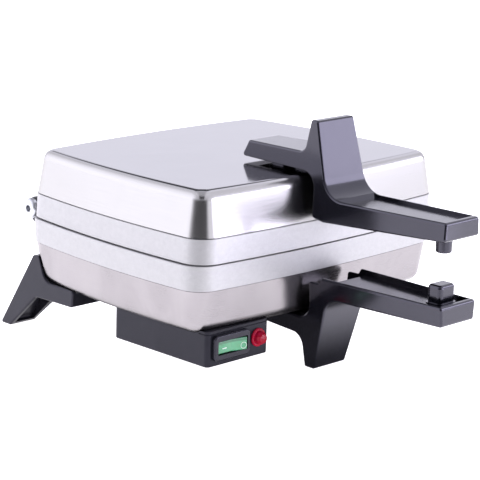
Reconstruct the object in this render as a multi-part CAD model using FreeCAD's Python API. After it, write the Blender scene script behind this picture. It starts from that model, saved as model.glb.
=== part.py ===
import FreeCAD, Part
import math
import os

V = FreeCAD.Vector

# Waffle maker: two cast plate halves hinged at the rear, sheet-steel covers, moulded handles and legs.
# Millimetres. X is across the body, -Y is the handle side, +Y the hinge side, +Z up.
# The shapes are drawn about the parting plane (z = 0) and the middle of the body, and are moved at the
# end so that the feet stand on z = 0 under the middle of the whole object.

# ---- driving dimensions -------------------------------------------------------------------------
HALF_W = 125.0          # half width of the castings at mid depth
HALF_D = 103.5          # half depth of the castings at mid width
BOW = 6.7               # how far each side bows out
TAPER = 0.04            # the body is this much wider at the front and narrower at the rear
CORNER_R = 18.5         # plan corner radius of the castings
GAP = 0.4               # half of the joint line between the two castings
BAND = 18.2             # height of one casting's visible band
SEAM = 0.4              # shadow gap between casting and cover
LID_TOP = 51.0          # top of the lid cover
BASE_BOT = -50.4        # bottom of the base cover
SHEET = 0.8             # cover sheet thickness
LID_EDGE_R = 8.2        # rounding of the lid cover's top edge
BASE_EDGE_R = 9.0       # rounding of the base cover's bottom edge
GROUND = -91.6          # underside of the feet
FIN_TOP = 91.2          # top of the upper handle's fin: the opened lid stands on it
ARM_HALF = 18.2         # half width of both handle arms at their front end
RIM = 2.4               # thickness of the walls round the recess in each arm
ARM_END = -224.0        # front end of both handle arms
FOOT_REAR = 132.0       # rearmost point of the rear legs
HINGE_Y, HINGE_Z = 115.0, 0.0
KNUCKLE_R = 8.4
BOLT_R = 4.0
RECESS = 7.0            # depth of one waffle recess from the parting plane
PEG_H = 4.5             # height of the grid blocks
PITCH = 20.0            # pitch of the grid blocks
ELEMENT_R = 3.25        # heating element tube radius
PLATE_SCREWS = [(67, 60), (-67, 60), (67, -60), (-67, -60)]
HANDLE_SCREWS = [(0, -57), (0, -80)]
LEG_SCREWS = [(97, 54), (97, 69)]
BOX = (-114.5, -54.0, -97.0, 0.5, -73.5, -47.9)   # switch box x0, x1, y0, y1, z0, z1
BOX_WALL = 2.2
ROCKER_X, ROCKER_Z = -92.7, -60.1                 # rocker centre on the box front
LAMP_X, LAMP_Z = -65.3, -60.0                     # pilot lamp centre on the box front
SWITCH_THROW = 14.0                               # rocker travel, degrees
CENTRE_X = 1.45                                   # middle of the whole object across the body
CENTRE_Y = (ARM_END + FOOT_REAR) / 2.0

out = {}


# ---- helpers ------------------------------------------------------------------------------------
def circle3(p, q, r):
    ax, ay = p; bx, by = q; cx, cy = r
    d = 2 * (ax * (by - cy) + bx * (cy - ay) + cx * (ay - by))
    ux = ((ax**2 + ay**2) * (by - cy) + (bx**2 + by**2) * (cy - ay) + (cx**2 + cy**2) * (ay - by)) / d
    uy = ((ax**2 + ay**2) * (cx - bx) + (bx**2 + by**2) * (ax - cx) + (cx**2 + cy**2) * (bx - ax)) / d
    return ux, uy, math.hypot(ax - ux, ay - uy)


def half_width(y):
    return HALF_W * (1 - TAPER * y / HALF_D) - BOW * (y / HALF_D) ** 2


FW = HALF_W * (1 + TAPER)
RW = HALF_W * (1 - TAPER)


def sides(left, right):
    """Side circles in order: front, right, rear, left, with the left and right sides moved outwards."""
    return [
        circle3((-FW, -(HALF_D - BOW)), (0, -HALF_D), (FW, -(HALF_D - BOW))),
        circle3((half_width(-HALF_D) + right, -HALF_D), (half_width(0) + right, 0), (half_width(HALF_D) + right, HALF_D)),
        circle3((RW, HALF_D - BOW), (0, HALF_D), (-RW, HALF_D - BOW)),
        circle3((-half_width(-HALF_D) - left, -HALF_D), (-half_width(0) - left, 0), (-half_width(HALF_D) - left, HALF_D)),
    ]


SIDES = sides(0.0, 4.5)              # upper half
LOW_SIDES = sides(1.6, 2.4)          # lower half
CORNER_GUESS = [(FW, -HALF_D), (RW, HALF_D), (-RW, HALF_D), (-FW, -HALF_D)]


def meet(c1, r1, c2, r2, near):
    dx, dy = c2[0] - c1[0], c2[1] - c1[1]
    d = math.hypot(dx, dy)
    a = (r1 * r1 - r2 * r2 + d * d) / (2 * d)
    h = math.sqrt(r1 * r1 - a * a)
    mx, my = c1[0] + a * dx / d, c1[1] + a * dy / d
    pts = [(mx - h * dy / d, my + h * dx / d), (mx + h * dy / d, my - h * dx / d)]
    return min(pts, key=lambda p: math.hypot(p[0] - near[0], p[1] - near[1]))


def corners(c):
    return [meet(c[i], c[i][2] - CORNER_R, c[(i + 1) % 4], c[(i + 1) % 4][2] - CORNER_R, CORNER_GUESS[i]) for i in range(4)]


CORNERS = corners(SIDES)
LOW_CORNERS = corners(LOW_SIDES)
LOWER_HALF = [False]                 # set while the lower half is drawn above the parting plane


def along(c, p, r):
    d = math.hypot(p[0] - c[0], p[1] - c[1])
    return (c[0] + r * (p[0] - c[0]) / d, c[1] + r * (p[1] - c[1]) / d)


def plan(inset, z):
    """Closed outline of the body, offset inwards by inset, at height z."""
    edges = []
    rc = CORNER_R - inset
    low = LOWER_HALF[0] or z < -1.0
    ring, knots = (LOW_SIDES, LOW_CORNERS) if low else (SIDES, CORNERS)
    for i in range(4):
        c = ring[i]
        r = c[2] - inset
        a = along(c, knots[i - 1], r)
        b = along(c, knots[i], r)
        m = along(c, ((a[0] + b[0]) / 2, (a[1] + b[1]) / 2), r)
        edges.append(Part.Arc(V(a[0], a[1], z), V(m[0], m[1], z), V(b[0], b[1], z)).toShape())
        k = knots[i]
        n = ring[(i + 1) % 4]
        e = along(n, k, n[2] - inset)
        m2 = ((b[0] + e[0]) / 2, (b[1] + e[1]) / 2)
        m2 = along(k, m2, rc)
        edges.append(Part.Arc(V(b[0], b[1], z), V(m2[0], m2[1], z), V(e[0], e[1], z)).toShape())
    return Part.Wire(edges)


def loft(i0, z0, i1, z1):
    return Part.makeLoft([plan(i0, z0), plan(i1, z1)], True, True)


def cup(i0, z0, i1, z1, r):
    """Drafted body with its far edge rounded."""
    s = loft(i0, z0, i1, z1)
    top = [f for f in s.Faces if abs(f.CenterOfMass.z - z1) < 1e-4 and f.BoundBox.ZLength < 1e-4][0]
    return s.makeFillet(r, top.Edges)


def box(x0, x1, y0, y1, z0, z1):
    return Part.makeBox(x1 - x0, y1 - y0, z1 - z0, V(x0, y0, z0))


def cyl(r, p, q):
    p, q = V(*p), V(*q)
    d = q - p
    return Part.makeCylinder(r, d.Length, p, d)


def cone(r0, r1, p, q):
    p, q = V(*p), V(*q)
    d = q - p
    return Part.makeCone(r0, r1, d.Length, p, d)


def rpoly(pts, place):
    """Closed outline with a rounding at each corner: pts hold (a, b, radius), place maps (a, b) to space."""
    n = len(pts)
    seq = []
    for i in range(n):
        a, b, r = pts[i]
        p0, p1 = pts[i - 1], pts[(i + 1) % n]
        u = (p0[0] - a, p0[1] - b); w = (p1[0] - a, p1[1] - b)
        lu, lw = math.hypot(*u), math.hypot(*w)
        u = (u[0] / lu, u[1] / lu); w = (w[0] / lw, w[1] / lw)
        ang = math.acos(max(-1, min(1, u[0] * w[0] + u[1] * w[1])))
        if r <= 0 or ang > math.pi - 1e-3:
            seq.append(((a, b), None, (a, b)))
            continue
        t = r / math.tan(ang / 2)
        s = (a + u[0] * t, b + u[1] * t); e = (a + w[0] * t, b + w[1] * t)
        bis = (u[0] + w[0], u[1] + w[1]); lb = math.hypot(*bis)
        dist = r / math.sin(ang / 2) - r
        seq.append((s, (a + bis[0] / lb * dist, b + bis[1] / lb * dist), e))
    edges = []
    for i in range(n):
        s, m, e = seq[i]
        if m:
            edges.append(Part.Arc(place(*s), place(*m), place(*e)).toShape())
        nx = seq[(i + 1) % n][0]
        if math.hypot(nx[0] - e[0], nx[1] - e[1]) > 1e-6:
            edges.append(Part.LineSegment(place(*e), place(*nx)).toShape())
    return Part.Wire(edges)


def slab_x(pts, x0, x1):
    return Part.Face(rpoly(pts, lambda a, b: V(x0, a, b))).extrude(V(x1 - x0, 0, 0))


def slab_y(pts, y0, y1):
    return Part.Face(rpoly(pts, lambda a, b: V(a, y0, b))).extrude(V(0, y1 - y0, 0))


def slab_z(pts, z0, z1):
    return Part.Face(rpoly(pts, lambda a, b: V(a, b, z0))).extrude(V(0, 0, z1 - z0))


def rect(a0, a1, b0, b1, r):
    return [(a0, b0, r), (a1, b0, r), (a1, b1, r), (a0, b1, r)]


def round_edges(shape, r, test):
    """Round the edges that pass the test, all together or else one after the other."""
    es = [e for e in shape.Edges if test(e)]
    for k in (1.0, 0.75, 0.5):
        try:
            s = shape.makeFillet(r * k, es)
            if s.isValid() and s.Volume > 0:
                return s
        except Exception:
            pass
    s = shape
    for e in es:
        c = e.CenterOfMass
        for f in s.Edges:
            if (f.CenterOfMass - c).Length < 0.05:
                try:
                    t = s.makeFillet(r * 0.5, [f])
                    if t.isValid() and t.Volume > 0:
                        s = t
                except Exception:
                    pass
                break
    return s


def one(shape):
    shape = shape.removeSplitter()
    return shape.Solids[0] if len(shape.Solids) == 1 else shape


def mirror_z(s):
    return s.mirror(V(0, 0, 0), V(0, 0, 1))


def mirror_x(s):
    return s.mirror(V(0, 0, 0), V(1, 0, 0))


# ---- covers -------------------------------------------------------------------------------------
LZ0 = BAND + SEAM
LID_I0, LID_I1 = 0.9, 6.5
BASE_I0, BASE_I1 = 1.5, 6.6


def lid_body(grow):
    return cup(LID_I0 - grow, LZ0, LID_I1 - grow, LID_TOP + grow, LID_EDGE_R + grow)


def base_body(grow):
    return cup(BASE_I0 - grow, -LZ0, BASE_I1 - grow, BASE_BOT - grow, BASE_EDGE_R + grow)


lid_cover = lid_body(0).cut(cup(LID_I0 + SHEET, LZ0 - 0.001, LID_I1 + SHEET, LID_TOP - SHEET, LID_EDGE_R - SHEET))
base_cover = base_body(0).cut(cup(BASE_I0 + SHEET, -LZ0 + 0.001, BASE_I1 + SHEET, BASE_BOT + SHEET, BASE_EDGE_R - SHEET))
for x, y in HANDLE_SCREWS:
    lid_cover = lid_cover.cut(cyl(2.2, (x, y, LID_TOP - 5), (x, y, LID_TOP + 5)))
    base_cover = base_cover.cut(cyl(2.2, (x, y, BASE_BOT - 5), (x, y, BASE_BOT + 5)))
for x, y in LEG_SCREWS:
    for s in (1, -1):
        base_cover = base_cover.cut(cyl(2.2, (s * x, y, BASE_BOT - 5), (s * x, y, BASE_BOT + 5)))
WIRE_X, WIRE_Y = -88.0, -24.0
base_cover = base_cover.cut(cyl(5.0, (WIRE_X, WIRE_Y, BASE_BOT - 5), (WIRE_X, WIRE_Y, BASE_BOT + 5)))
BOX_SCREWS = [(-104.0, -9.0), (-63.0, -9.0), (-63.0, -46.0)]
for x, y in BOX_SCREWS:
    base_cover = base_cover.cut(cyl(2.0, (x, y, BASE_BOT - 8), (x, y, BASE_BOT + 8)))
out["lid_cover"] = one(lid_cover)
out["base_cover"] = one(base_cover)


# ---- cast plates --------------------------------------------------------------------------------
PEG_ROWS = [-70, -50, -30, -10, 10, 30, 50, 70]
PEG_COLS = [17, 37, 57, 77, 97]


def grid_block():
    """One raised block of the waffle grid, standing on the recess floor, edges softened."""
    def sq(h, z):
        return Part.makePolygon([V(-h, -h, z), V(h, -h, z), V(h, h, z), V(-h, h, z), V(-h, -h, z)])
    b = Part.makeLoft([sq(6.9, -0.6), sq(4.9, PEG_H)], True, True)
    return b.makeFillet(1.2, [e for e in b.Edges if e.BoundBox.ZMax > PEG_H - 0.01])


def plate(skirt_i, draft):
    """Upper casting, drawn with the grid facing down; the lower one is its mirror image."""
    p = loft(0.0, GAP, draft, BAND)
    # small bevel along the parting edge
    low = [f for f in p.Faces if f.BoundBox.ZLength < 1e-4 and abs(f.CenterOfMass.z - GAP) < 1e-4][0]
    p = p.makeChamfer(0.35, low.Edges)
    p = p.fuse(loft(skirt_i, BAND - 0.5, skirt_i, BAND + 2.4))
    p = p.cut(loft(8.0, RECESS + 4.0, 8.0, BAND + 3.0))
    # waffle recess
    p = p.cut(loft(10.0, GAP - 1, 12.0, RECESS))
    # screw bosses
    p = p.multiFuse([cyl(5.0, (x, y, RECESS + 3.5), (x, y, BAND + 2.4)) for x, y in PLATE_SCREWS])
    holes = []
    for x, y in PLATE_SCREWS:
        holes.append(cyl(2.05, (x, y, 0), (x, y, BAND + 5)))
        holes.append(cone(3.35, 2.0, (x, y, RECESS - 0.01), (x, y, RECESS + 2.0)))
    for x, y in CLAMP_XY:
        for hx, hy in clamp_holes(x, y):
            holes.append(cyl(1.55, (hx, hy, RECESS + 1.2), (hx, hy, RECESS + 5)))
    # flat pads for the hinge lugs on the rear wall
    for s in (1, -1):
        x0, x1 = sorted((s * 64.5, s * 98.5))
        holes.append(box(x0, x1, 97.0, 120.0, GAP - 1, BAND - 0.6))
        for x in LUG_SCREW_X:
            holes.append(cyl(2.05, (s * x, 88, LUG_SCREW_Z), (s * x, 99, LUG_SCREW_Z)))
    for h in holes:
        p = p.cut(h)
    # rib between the two halves of the recess, and the grid blocks
    rib = slab_y([(-4.2, RECESS + 0.6, 0), (4.2, RECESS + 0.6, 0), (2.6, 2.6, 1.0), (-2.6, 2.6, 1.0)], -93, 93)
    pegs = []
    blk = mirror_z(grid_block())
    for y in PEG_ROWS:
        for x in PEG_COLS:
            for s in (1, -1):
                b = blk.copy()
                b.translate(V(s * x, y, RECESS))
                pegs.append(b)
    return p.multiFuse([rib] + pegs)


# element route: a loop under the plate, its two ends facing each other at the rear
EL_X, EL_Y, EL_R = 90.0, 70.0, 25.0
EL_Z = RECESS + 4.0 + ELEMENT_R + 0.05
CLAMP_XY = [(-EL_X, 0.0), (EL_X, 0.0), (-34.0, -EL_Y), (34.0, -EL_Y), (-46.0, EL_Y), (46.0, EL_Y)]
LUG_SCREW_X = (82.0, 70.0)
LUG_SCREW_Z = 14.5


def clamp_holes(x, y):
    if abs(x) == EL_X:
        return [(x - 7.5, y), (x + 7.5, y)]
    return [(x, y - 7.5), (x, y + 7.5)]


upper_plate = plate(3.5, 0.9)
LOWER_HALF[0] = True
lower_plate = mirror_z(plate(3.0, 0.4))
LOWER_HALF[0] = False
out["upper_plate"] = one(upper_plate)
out["lower_plate"] = one(lower_plate)


def element():
    z = EL_Z
    h = math.sqrt(0.5)
    e = []
    def ln(a, b):
        e.append(Part.LineSegment(V(a[0], a[1], z), V(b[0], b[1], z)).toShape())
    def ar(cx, cy, a0, a1):
        pts = [V(cx + EL_R * math.cos(math.radians(t)), cy + EL_R * math.sin(math.radians(t)), z) for t in (a0, (a0 + a1) / 2, a1)]
        e.append(Part.Arc(*pts).toShape())
    X, Y, R = EL_X, EL_Y, EL_R
    ln((-16, Y), (-X + R, Y)); ar(-X + R, Y - R, 90, 180)
    ln((-X, Y - R), (-X, -Y + R)); ar(-X + R, -Y + R, 180, 270)
    ln((-X + R, -Y), (X - R, -Y)); ar(X - R, -Y + R, 270, 360)
    ln((X, -Y + R), (X, Y - R)); ar(X - R, Y - R, 0, 90)
    ln((X - R, Y), (16, Y))
    w = Part.Wire(e)
    c = Part.Wire([Part.Circle(V(-16, Y, z), V(-1, 0, 0), ELEMENT_R).toShape()])
    tube = w.makePipeShell([c], True, False)
    # end beads and terminal pins
    for s in (1, -1):
        tube = tube.fuse(cyl(2.6, (s * 16.5, Y, z), (s * 12.5, Y, z)))
        tube = tube.fuse(cyl(1.4, (s * 13, Y, z), (s * 5, Y, z)))
    return tube


def clamps():
    c = []
    s = []
    for x, y in CLAMP_XY:
        if abs(x) == EL_X:
            b = box(x - 11, x + 11, y - 5, y + 5, RECESS + 4.0, EL_Z + ELEMENT_R + 1.2)
            b = round_edges(b, 3.0, lambda e: e.BoundBox.YLength > 9 and e.BoundBox.ZMin > EL_Z)
            b = b.cut(cyl(ELEMENT_R + 0.08, (x, y - 20, EL_Z), (x, y + 20, EL_Z)))
        else:
            b = box(x - 5, x + 5, y - 11, y + 11, RECESS + 4.0, EL_Z + ELEMENT_R + 1.2)
            b = round_edges(b, 3.0, lambda e: e.BoundBox.XLength > 9 and e.BoundBox.ZMin > EL_Z)
            b = b.cut(cyl(ELEMENT_R + 0.08, (x - 20, y, EL_Z), (x + 20, y, EL_Z)))
        b = b.cut(box(x - 11, x + 11, y - 11, y + 11, EL_Z - 6, EL_Z - 0.001).common(
            box(x - (3.33 if abs(x) == EL_X else 11), x + (3.33 if abs(x) == EL_X else 11),
                y - (11 if abs(x) == EL_X else 3.33), y + (11 if abs(x) == EL_X else 3.33), 0, 40)))
        for hx, hy in clamp_holes(x, y):
            b = b.cut(cyl(1.6, (hx, hy, 0), (hx, hy, 40)))
            seat = RECESS + 7.0
            b = b.cut(cyl(3.2, (hx, hy, seat), (hx, hy, 40)))
            s.append(cyl(1.5, (hx, hy, RECESS + 1.4), (hx, hy, seat + 0.5)).fuse(cyl(2.9, (hx, hy, seat), (hx, hy, seat + 1.8))))
        c.append(b)
    return c, s


el = element()
cl, cs = clamps()
REF0 = BAND + 2.4


def reflector(i):
    r = loft(i, REF0, i, REF0 + 0.6)
    for x, y in PLATE_SCREWS:
        r = r.cut(cyl(2.3, (x, y, REF0 - 5), (x, y, REF0 + 5)))
    r = r.cut(slab_z(rect(-20, 20, 58, 82, 5), REF0 - 2, REF0 + 2))
    return r


def plate_screw(x, y):
    s = cone(3.2, 2.0, (x, y, RECESS + 0.02), (x, y, RECESS + 1.85)).fuse(cyl(2.0, (x, y, RECESS + 1.5), (x, y, REF0 + 12)))
    # cross recess
    for a, b in ((1.9, 0.4), (0.4, 1.9)):
        s = s.cut(box(x - a, x + a, y - b, y + b, RECESS - 1, RECESS + 1.2))
    return s


def pillar(x, y, z1):
    return cyl(4.5, (x, y, REF0 + 0.6), (x, y, z1)).cut(cyl(2.05, (x, y, REF0), (x, y, REF0 + 14)))


def group(shapes):
    return Part.makeCompound(shapes)


upper = {
    "upper_element": el,
    "upper_element_clamps": group(cl),
    "upper_clamp_screws": group(cs),
    "upper_reflector": one(reflector(4.3)),
    "upper_plate_screws": group([plate_screw(x, y) for x, y in PLATE_SCREWS]),
}
lower = {
    "lower_element": mirror_z(el),
    "lower_element_clamps": group([mirror_z(s) for s in cl]),
    "lower_clamp_screws": group([mirror_z(s) for s in cs]),
    "lower_plate_screws": group([mirror_z(plate_screw(x, y)) for x, y in PLATE_SCREWS]),
}
out.update(upper)
out.update(lower)
out["upper_pillars"] = group([pillar(x, y, LID_TOP - SHEET) for x, y in PLATE_SCREWS])
out["lower_pillars"] = group([mirror_z(pillar(x, y, -BASE_BOT - SHEET)) for x, y in PLATE_SCREWS])

# thermostat and thermal fuse sit against the lower plate, the reflector is cut out round the thermostat
LOWER_HALF[0] = True
lr = mirror_z(reflector(3.8))
LOWER_HALF[0] = False
lr = lr.cut(cyl(14.0, (0, -18, -30), (0, -18, -10)))
out["lower_reflector"] = one(lr)
zt = -(RECESS + 4.0)
th = cyl(9.0, (0, -18, zt), (0, -18, zt - 5)).fuse(cyl(11.5, (0, -18, zt), (0, -18, zt - 1.2)))
th = th.fuse(cyl(7.0, (0, -18, zt - 4.5), (0, -18, zt - 12)))
for s in (1, -1):
    th = th.fuse(box(s * 6.4 - 3.2, s * 6.4 + 3.2, -18.4, -17.6, zt - 18, zt - 10))
out["thermostat"] = one(th)
fu = cyl(2.2, (26, 10, zt - 3.2), (48, 10, zt - 3.2)).fuse(cyl(0.8, (20, 10, zt - 3.2), (54, 10, zt - 3.2)))
out["thermal_fuse"] = one(fu)
fc = box(33, 41, 4, 16, zt - 6.2, zt).cut(cyl(2.25, (30, 10, zt - 3.2), (44, 10, zt - 3.2)))
out["fuse_clip"] = one(fc)


# ---- handles ------------------------------------------------------------------------------------
def flanks(waist, rear, front, z0, z1, draft, inset=0.0):
    """Body between a handle's two side faces: widest at the post, narrower to both ends and away from the parting plane."""
    def ring(z):
        i = inset + draft * abs(z - z0)
        f = (waist - front) / 114.0
        r = (waist - rear) / 76.0
        hw = lambda y: waist - i - (f * (-110.0 - y) if y < -110.0 else r * (y + 110.0))
        pts = [(hw(-240.0), -240.0, 0), (hw(-110.0), -110.0, 200.0), (hw(-20.0), -20.0, 0)]
        pts += [(-a, b, c) for a, b, c in reversed(pts)]
        return rpoly(pts, lambda a, b: V(a, b, z))
    return Part.makeLoft([ring(z0), ring(z1)], True, True)


def flank_edges(shape):
    """Edges between a side face and the rest of the outline."""
    def across(f):
        u0, u1, v0, v1 = f.ParameterRange
        return abs(f.normalAt((u0 + u1) / 2, (v0 + v1) / 2).x)
    chosen = []
    for e in shape.Edges:
        n = sorted(across(f) for f in shape.ancestorsOfType(e, Part.Face))
        if len(n) == 2 and n[0] < 0.3 and n[1] > 0.9:
            chosen.append(e.CenterOfMass)
    return lambda e: any((e.CenterOfMass - c).Length < 1e-4 for c in chosen)


def upper_flanks(inset=0.0):
    return flanks(23.2, 18.4, ARM_HALF + 0.8, 15.0, 95.0, 0.05, inset)


def lower_flanks(inset=0.0):
    return flanks(23.3, 20.0, ARM_HALF + 0.6, -18.0, -95.0, 0.083, inset)


UP = [(-27.0, 53.9, 2.0), (-33.8, 66.4, 2.0), (-93.2, 67.6, 7.0), (-98.0, FIN_TOP, 1.8), (-104.9, FIN_TOP, 1.8),
      (-118.4, 37.2, 18.0), (ARM_END, 39.2, 2.2), (ARM_END, 25.7, 2.2), (-115.5, 20.3, 4.0), (-105.0, 22.0, 3.0),
      (-104.5, 53.9, 12.0)]
upper_handle = slab_x(UP, -30, 30).common(upper_flanks())
upper_handle = round_edges(upper_handle, 1.6, flank_edges(upper_handle))
# recess along the arm, with a sloping end under the fin
WELL = [(-127.0, 60.0, 0), (-127.0, 38.2, 0), (-134.5, 30.6, 3.0), (ARM_END + 4.2, 33.4, 1.5), (ARM_END + 4.2, 60.0, 0)]
upper_handle = upper_handle.cut(slab_x(WELL, -30, 30).common(upper_flanks(RIM)))
# hollow under the bracket, with two posts that stand on the cover
upper_handle = upper_handle.cut(slab_z(rect(-13.3, 13.3, -92.0, -41.0, 3.0), 50, 62.5))
for x, y in HANDLE_SCREWS:
    upper_handle = upper_handle.fuse(slab_z(rect(-8.5, 8.5, y - 7.5, y + 7.5, 3.0), LID_TOP, 63.0))
for x, y in HANDLE_SCREWS:
    upper_handle = upper_handle.cut(cyl(1.8, (x, y, 45), (x, y, 62.5)))
PEG_Y = -208.6
upper_handle = upper_handle.cut(cyl(3.05, (0, PEG_Y, 15), (0, PEG_Y, 29.5)))
out["upper_handle"] = one(upper_handle)

LO = [(-29.4, -53.3, 3.0), (-35.8, -64.9, 3.0), (-95.0, -67.6, 10.0), (-97.9, GROUND, 1.8), (-107.6, GROUND, 1.8),
      (-122.0, -35.2, 14.0), (ARM_END, -34.0, 2.2), (ARM_END, -19.5, 2.2), (-116.8, -20.3, 1.8), (-114.6, -24.5, 1.8),
      (-104.4, -24.7, 2.0), (-104.2, -53.3, 12.0)]
lower_handle = slab_x(LO, -30, 30).common(lower_flanks())
lower_handle = round_edges(lower_handle, 1.6, flank_edges(lower_handle))
# recess along the arm, open towards the body
FLOOR = -24.4
WELL = [(-99.0, -31.0, 0), (-121.0, -31.0, 0), (-121.0, FLOOR, 0), (ARM_END + 4.0, FLOOR, 1.5), (ARM_END + 4.0, 0.0, 0), (-99.0, 0.0, 0)]
lower_handle = lower_handle.cut(slab_x(WELL, -30, 30).common(lower_flanks(RIM)))
lower_handle = lower_handle.cut(slab_z(rect(-13.3, 13.3, -90.0, -41.0, 3.0), -61.0, -50))
# hollow in the back of the leg
for x, y in HANDLE_SCREWS:
    lower_handle = lower_handle.fuse(slab_z(rect(-8.5, 8.5, y - 7.5, y + 7.5, 3.0), -61.5, BASE_BOT))
for x, y in HANDLE_SCREWS:
    lower_handle = lower_handle.cut(cyl(1.8, (x, y, -61.2), (x, y, -40)))
BLOCK_Y = -208.2
lower_handle = lower_handle.cut(cyl(3.05, (0, BLOCK_Y, -29.5), (0, BLOCK_Y, -20)))
out["lower_handle"] = one(lower_handle)


def handle_screw(x, y, z, d, length):
    """Pan-head screw, head at z on the inside of a cover, shank running in direction d."""
    s = cyl(1.75, (x, y, z - 0.2 * d), (x, y, z + d * length)).fuse(cyl(3.6, (x, y, z), (x, y, z - 2.4 * d)))
    return s


out["upper_handle_screws"] = group([handle_screw(x, y, LID_TOP - SHEET, 1, 11.5) for x, y in HANDLE_SCREWS])
out["lower_handle_screws"] = group([handle_screw(x, y, BASE_BOT + SHEET, -1, 10.0) for x, y in HANDLE_SCREWS])

# stop peg under the upper arm and stop block in the lower tray, each with a spigot pressed into its arm
pz = 26.0 - 0.05
peg = cone(6.1, 5.6, (0, PEG_Y, 25.75), (0, PEG_Y, 13.8))
peg = round_edges(peg, 1.3, lambda e: e.BoundBox.ZMax < 14.0)
peg = peg.cut(slab_x(UP, -30, 30))
peg = peg.fuse(cyl(3.0, (0, PEG_Y, 22.0), (0, PEG_Y, 29.0)))
out["upper_stop_peg"] = one(peg)
blk = slab_z(rect(-8.4, 8.4, BLOCK_Y - 6.2, BLOCK_Y + 6.2, 3.2), FLOOR + 0.05, -8.2)
blk = round_edges(blk, 2.4, lambda e: e.BoundBox.ZMin > -8.3)
blk = blk.fuse(slab_z(rect(-9.6, 9.6, BLOCK_Y - 7.4, BLOCK_Y + 7.4, 4.0), FLOOR + 0.05, -21.0))
blk = blk.fuse(cyl(3.0, (0, BLOCK_Y, -29.0), (0, BLOCK_Y, -22.0)))
out["lower_stop_block"] = one(blk)


# ---- rear legs ----------------------------------------------------------------------------------
LEG_X0, LEG_X1 = -115.0, -86.0
LEG = [(93.8, -30.4, 1.8), (FOOT_REAR + 1.29, GROUND, 1.5), (121.6, GROUND, 1.5), (90.5, -62.6, 4.0), (47.6, -62.0, 2.4), (46.6, -48.7, 2.2),
       (79.5, -48.6, 10.0), (86.2, -29.6, 2.3)]
leg = round_edges(slab_x(LEG, LEG_X0, LEG_X1), 1.3, lambda e: abs(e.CenterOfMass.x - LEG_X0) < 1e-3 and e.BoundBox.XLength < 1e-3)
# the inner side narrows towards the foot
leg = leg.cut(slab_y([(-86.0, -60.0, 0), (-80.0, -60.0, 0), (-80.0, GROUND - 1, 0), (-91.0, GROUND - 1, 0)], 40, 140))
# hollow, open to the front and below
leg = leg.cut(slab_x([(52.0, -54.0, 2.0), (99.5, -54.0, 4.0), (121.5, -87.2, 2.0), (112.0, -97.0, 0), (52.0, -97.0, 0)], -111.6, -93.0))
leg = leg.cut(base_body(0.6))
for x, y in LEG_SCREWS:
    leg = leg.fuse(cyl(4.6, (-x, y, BASE_BOT - 1.2), (-x, y, -61.5)))
for x, y in LEG_SCREWS:
    leg = leg.fuse(cyl(3.4, (-x, y, BASE_BOT), (-x, y, -54)))
    leg = leg.cut(cyl(1.8, (-x, y, BASE_BOT + 3), (-x, y, -60.5)))
leg = one(leg)
if len(leg.Solids) > 1:
    leg = max(leg.Solids, key=lambda s: s.Volume)
out["rear_leg_left"] = leg
out["rear_leg_right"] = mirror_x(leg).cut(base_body(0.6))
out["rear_leg_screws"] = group([handle_screw(s * x, y, BASE_BOT + SHEET, -1, 10.0) for x, y in LEG_SCREWS for s in (1, -1)])


# ---- switch box ---------------------------------------------------------------------------------
x0, x1, y0, y1, z0, z1 = BOX
bx = slab_z(rect(x0, x1, y0, y1, 3.5), z0, z1)
bx = round_edges(bx, 0.9, lambda e: e.BoundBox.ZMax < z0 + 0.01)
inner = slab_z(rect(x0 + BOX_WALL, x1 - BOX_WALL, y0 + BOX_WALL, y1 - BOX_WALL, 0.3), z0 + BOX_WALL, z1 + 5)
bx = bx.cut(inner)
# groove under the rim
groove = slab_z(rect(x0 - 1, x1 + 1, y0 - 1, y1 + 1, 4.0), z1 - 2.3, z1 - 1.6).cut(
    slab_z(rect(x0 + 0.6, x1 - 0.6, y0 + 0.6, y1 - 0.6, 3.0), z1 - 4, z1))
bx = bx.cut(groove.common(box(x0 - 2, x1 + 2, y0 - 2, y0 + 9, z1 - 5, z1)))
# lip that closes the front under the cover, and lower side walls behind the front corner
bx = bx.fuse(box(x0 + 1, x1 - 1, y0 + 1, y0 + 6.5, z1 - 1.5, z1))
for x in (x0, x1):
    bx = bx.cut(slab_x([(y0 + 5.0, z1 + 1, 0), (y0 + 12.0, -49.9, 0), (y1 + 1, -49.9, 0), (y1 + 1, z1 + 1, 0)], x - 3.0, x + 3.0))
# clipped lower corner on the lamp side and at the rear
bx = bx.cut(slab_y([(x1 - 2.2, z0 - 1, 0), (x1 + 1, z0 - 1, 0), (x1 + 1, z0 + 3.6, 0), (x1 - 0.9, z0 + 3.6, 0)], y0 - 1, y1 + 1))
for x, y in BOX_SCREWS:
    post = cyl(4.6, (x, y, z0 + 0.5), (x, y, BASE_BOT - 0.05))
    bx = bx.fuse(post)
for x, y in BOX_SCREWS:
    bx = bx.cut(cyl(2.0, (x, y, z0 - 1), (x, y, z1 + 5))).cut(cyl(3.6, (x, y, z0 - 1), (x, y, z0 + 3.0)))
bx = bx.cut(base_body(0.4).cut(group([cyl(4.7, (x, y, z0), (x, y, BASE_BOT - 0.05)) for x, y in BOX_SCREWS])))
SW_W, SW_H = 15.4, 7.4          # half size of the switch housing behind the panel
bx = bx.cut(box(ROCKER_X - SW_W - 0.1, ROCKER_X + SW_W + 0.1, y0 - 5, y0 + 5, ROCKER_Z - SW_H - 0.1, ROCKER_Z + SW_H + 0.1))
bx = bx.cut(cyl(5.0, (LAMP_X, y0 - 5, LAMP_Z), (LAMP_X, y0 + 5, LAMP_Z)))
INLET_X, INLET_Z = -76.0, -62.0
bx = bx.cut(cyl(5.6, (INLET_X, y1 - 5, INLET_Z), (INLET_X, y1 + 5, INLET_Z)))
bx = one(bx)
if len(bx.Solids) > 1:
    bx = max(bx.Solids, key=lambda s: s.Volume)
out["switch_box"] = bx
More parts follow.
